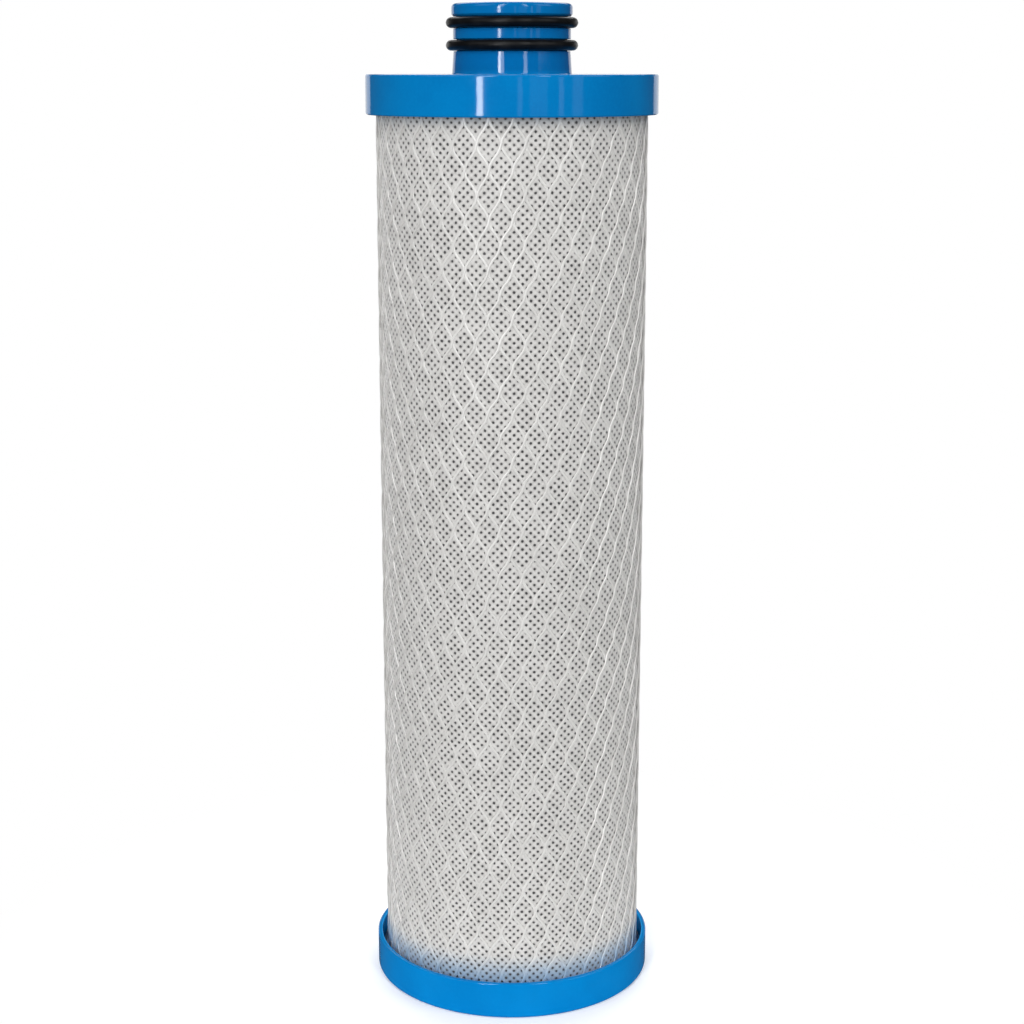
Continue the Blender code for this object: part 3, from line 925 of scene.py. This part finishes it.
def make_glue(node, facing, glue):
    """A glue ring, facing UP or DOWN, whose outer edge has crept unevenly up the cap's wall."""
    low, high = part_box(node)
    wall = high.x
    inner_radius = CORE_RADIUS - GLUE_CORE_INSET
    bonded, open_face = (low.z, high.z) if facing == UP else (high.z, low.z)
    corners = [
        (wall, bonded, 0),
        (wall, open_face + facing * GLUE_CREEP, 0.1 * MM),
        (wall - GLUE_CREEP_WIDTH, open_face + facing * GLUE_CREEP_FOOT, 0.3 * MM),
        (inner_radius, open_face, 0),
        (inner_radius, bonded, 0),
    ]

    def uneven(radius, level, angle):
        if radius > wall - GLUE_UNEVEN_WIDTH:
            crept = max(0.0, facing * (level - open_face))
            level += facing * crept * waves(GLUE_WAVES, angle)
        return radius, level

    ring = lathe(node + "_bead", rounded_outline(corners), GLUE_STEPS, push=uneven)
    place(ring, glue, "glue", node)


# ---------------------------------------------------------------- stage

BACKDROP_COLOUR = (1.0, 1.0, 1.0)
SURROUND_COLOUR = (1.0, 0.985, 0.965)
AMBIENT_LIGHT = 0.31
AMBIENT_REFLECTION = 0.06
FAR_FLOOR_LIGHT = 0.38
NEAR_FLOOR_LIGHT = 0.20
FLOOR_REFLECTION = 0.05
FLOOR_RADIUS = 12.0
FLOOR_SIDES = 96
FLOOR_DROP = 0.05 * MM
FLOOR_FADE_START = 0.038
FLOOR_FADE_END = 0.15

CAMERA_DISTANCE = 0.500
CAMERA_ABOVE_FLANGE = 1.5 * MM
CAMERA_PITCH_DEG = 12.75
CAMERA_LENS_MM = 69.0
CAMERA_SENSOR_MM = 36.0

# Area lights: name, azimuth and elevation in degrees, distance, width, height, power.
# The window bars show as faint reflections in the glossy caps.
PANELS = (
    ("left_strip_light", -20.0, 32.0, 1.3, 0.22, 1.10, 6.5),
    ("left_softbox", -60.0, 36.0, 1.4, 0.7, 0.9, 1.9),
    ("right_strip_light", 26.0, 32.0, 1.3, 0.16, 1.10, 4.2),
    ("right_softbox", 66.0, 30.0, 1.4, 0.7, 0.9, 3.3),
    ("rear_softbox", 180.0, 48.0, 1.4, 1.3, 1.0, 11.5),
    ("rear_wall", 180.0, 3.0, 1.5, 2.1, 0.7, 4.2),
    ("highlight_strip", -24.0, 4.0, 1.2, 0.10, 0.60, 4.6),
    ("window_bar_1", 6.0, 1.0, 1.5, 0.09, 0.5, 0.13),
    ("window_bar_2", 20.0, 1.0, 1.5, 0.36, 0.5, 0.20),
    ("window_bar_3", 37.5, 1.0, 1.5, 0.10, 0.5, 0.18),
    ("window_bar_4", 51.0, 1.0, 1.5, 0.22, 0.5, 0.25),
)


def white_glow(shader, strength):
    """The output of a plain Emission node in the backdrop's colour."""
    return shader.node("ShaderNodeEmission", {"Color": BACKDROP_COLOUR, "Strength": strength}).outputs[0]


def make_floor():
    """A pale floor that fades into the white background, so that no horizon shows."""
    bpy.ops.mesh.primitive_circle_add(
        vertices=FLOOR_SIDES, radius=FLOOR_RADIUS, fill_type="NGON", location=(0, 0, -FLOOR_DROP)
    )
    floor = bpy.context.object
    floor.name = "studio_floor"
    shader = Shader("pale_studio_floor")
    speckle = shader.noise(400.0, detail=3.0)
    tone = shader.blend(shader.ramp(speckle, 0.3, 0.7), (0.90, 0.90, 0.90), (0.93, 0.93, 0.93))
    shader.set(Base_Color=tone, Roughness=0.8, Specular_IOR_Level=0.2)
    shader.set(Emission_Color=BACKDROP_COLOUR, Emission_Strength=NEAR_FLOOR_LIGHT)
    tree = shader.tree
    path = shader.node("ShaderNodeLightPath")
    to_camera = shader.maths("MULTIPLY", path.outputs["Is Camera Ray"], 1.0 - FAR_FLOOR_LIGHT)
    far = white_glow(shader, shader.maths("ADD", to_camera, FAR_FLOOR_LIGHT))
    fade = shader.ramp(shader.length(shader.position), FLOOR_FADE_START, FLOOR_FADE_END)
    faded = mixed(tree, fade, shader.surface.outputs[0], far)
    reflected = white_glow(shader, FLOOR_REFLECTION)
    seen = mixed(tree, path.outputs["Is Glossy Ray"], faded, reflected)
    tree.links.new(seen, tree.nodes["Material Output"].inputs["Surface"])
    floor.data.materials.append(shader.material)


def make_world():
    """White to the camera; a dimmer, even surround for light, and a darker one for reflections."""
    world = bpy.data.worlds.new("studio_surround")
    world.use_nodes = True
    tree = world.node_tree
    backdrop = tree.nodes["Background"]
    backdrop.inputs["Color"].default_value = (*BACKDROP_COLOUR, 1.0)
    surrounds = []
    for strength in (AMBIENT_LIGHT, AMBIENT_REFLECTION):
        surround = tree.nodes.new("ShaderNodeBackground")
        surround.inputs["Color"].default_value = (*SURROUND_COLOUR, 1.0)
        surround.inputs["Strength"].default_value = strength
        surrounds.append(surround.outputs[0])
    path = tree.nodes.new("ShaderNodeLightPath")
    unseen = mixed(tree, path.outputs["Is Glossy Ray"], *surrounds)
    seen = mixed(tree, path.outputs["Is Camera Ray"], unseen, backdrop.outputs[0])
    tree.links.new(seen, tree.nodes["World Output"].inputs["Surface"])
    bpy.context.scene.world = world


def make_panel(name, azimuth_deg, elevation_deg, distance, width, height, power):
    """An area light on a sphere round the body's middle, facing it. Azimuth 0 is at the camera's side."""
    middle = Vector((0.0, 0.0, (cad_low.z + cad_high.z) / 2))
    azimuth = math.radians(azimuth_deg)
    elevation = math.radians(elevation_deg)
    direction = Vector(
        (
            math.sin(azimuth) * math.cos(elevation),
            -math.cos(azimuth) * math.cos(elevation),
            math.sin(elevation),
        )
    )
    lamp = bpy.data.lights.new(name, "AREA")
    lamp.shape = "RECTANGLE"
    lamp.size = width
    lamp.size_y = height
    lamp.energy = power
    made = bpy.data.objects.new(name, lamp)
    made.location = middle + direction * distance
    made.rotation_euler = direction.to_track_quat("Z", "Y").to_euler()
    made.visible_camera = False
    bpy.context.scene.collection.objects.link(made)


def make_camera():
    """The camera stands level with the flange's top and looks slightly down, as in a product shot."""
    camera = bpy.data.cameras.new("product_camera")
    camera.sensor_width = CAMERA_SENSOR_MM
    camera.lens = CAMERA_LENS_MM
    made = bpy.data.objects.new("product_camera", camera)
    made.location = (0.0, -CAMERA_DISTANCE, FLANGE_TOP + CAMERA_ABOVE_FLANGE)
    made.rotation_euler = (math.radians(90.0 - CAMERA_PITCH_DEG), 0.0, 0.0)
    bpy.context.scene.collection.objects.link(made)
    bpy.context.scene.camera = made


# ---------------------------------------------------------------- build

make_camera()
make_world()
for panel in PANELS:
    make_panel(*panel)
make_floor()

rubber = black_rubber()
# Both caps are one plastic: the top cap's lower tone is painted shade, the bottom cap's higher tone
# painted light, and its brighter inner face painted light.
make_top_cap(moulded_blue("top_cap_blue_plastic", tone=0.70, painted_shade_above=FLANGE_TOP))
make_bottom_cap(moulded_blue("bottom_cap_blue_plastic", tone=0.80, inner_face=1.0))
make_o_ring("upper_o_ring", rubber)
make_o_ring("lower_o_ring", rubber)
make_wrap(point_bonded_fabric())
make_netting(netting_plastic())
make_block(pressed_carbon())
make_sleeve(sleeve_fabric())
make_core(natural_plastic())
glue = hot_melt()
make_glue("bottom_glue_ring", UP, glue)
make_glue("top_glue_ring", DOWN, glue)

bpy.context.scene.view_settings.view_transform = "Standard"
